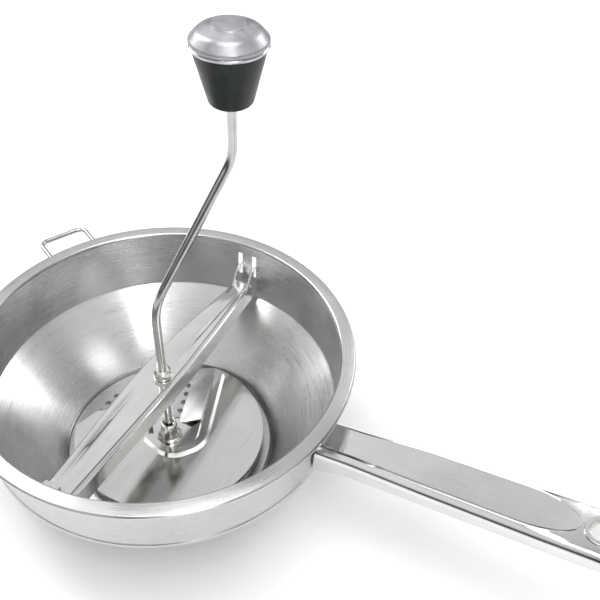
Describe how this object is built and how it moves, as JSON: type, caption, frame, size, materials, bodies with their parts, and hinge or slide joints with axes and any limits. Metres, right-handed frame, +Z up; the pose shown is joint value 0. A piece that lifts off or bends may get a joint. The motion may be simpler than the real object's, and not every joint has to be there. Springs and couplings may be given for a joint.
{
  "type": "rotary food mill",
  "caption": "Hand-cranked stainless rotary food mill with a conical bowl, sieve disc, sprung pressing blade, crossbar, long handle and wire rests.",
  "frame": {"origin": "on the crank axis, in the plane of the bowl's base ring", "axes": "+Z up along the crank axis, +X along the long handle, +Y towards the pronged end of the crossbar"},
  "size_m": [0.3907, 0.22, 0.2592],
  "materials": {
    "brushed_steel": "satin stainless sheet, turned and brushed round the bowl",
    "polished_steel": "buffed stainless sheet, near mirror with faint drawing lines",
    "wire_steel": "bright drawn round wire",
    "plated_hardware": "small bright turned and pressed fittings",
    "spring_wire": "spring steel wire",
    "bright_ring": "polished ring",
    "black_plastic": "black moulded plastic, semi-gloss, with a mould line",
    "silver_plastic": "silver-grey moulded plastic with a soft metallic sheen"
  },
  "bodies": {
    "mill_body": {"bowl": "brushed_steel", "sieve_disc": "brushed_steel", "handle_shell": "polished_steel", "hanging_eyelet": "polished_steel", "handle_bracket": "brushed_steel", "hook_left": "wire_steel", "hook_right": "wire_steel", "crossbar": "polished_steel", "crank_bush": "plated_hardware", "upper_spring_washer": "plated_hardware", "compression_spring": "spring_wire"},
    "spring_seat": {"lower_spring_washer": "plated_hardware"},
    "crank": {"crank_rod": "wire_steel", "crank_stop_collar": "plated_hardware", "spring_clip": "plated_hardware", "blade": "polished_steel", "blade_hub": "plated_hardware", "hub_swage_ring": "plated_hardware", "knob_retainer": "plated_hardware"},
    "knob": {"knob_body": "black_plastic", "knob_sleeve": "plated_hardware", "knob_ring": "bright_ring", "knob_cap": "silver_plastic"}
  },
  "joints": [
    {"name": "crank_lift", "type": "slide", "parent": "mill_body", "child": "spring_seat", "axis": [0, 0, 1], "range_m": [0, 0.003], "stiffness_N_per_m": 2000, "springref_m": -0.006, "deforming": ["compression_spring"]},
    {"name": "crank_spin", "type": "hinge", "parent": "spring_seat", "child": "crank", "pos_m": [0, 0, 0.05], "axis": [0, 0, 1], "continuous": true},
    {"name": "knob_spin", "type": "hinge", "parent": "crank", "child": "knob", "pos_m": [0.02365, 0.04743, 0.234], "axis": [0, 0, 1], "continuous": true}
  ]
}
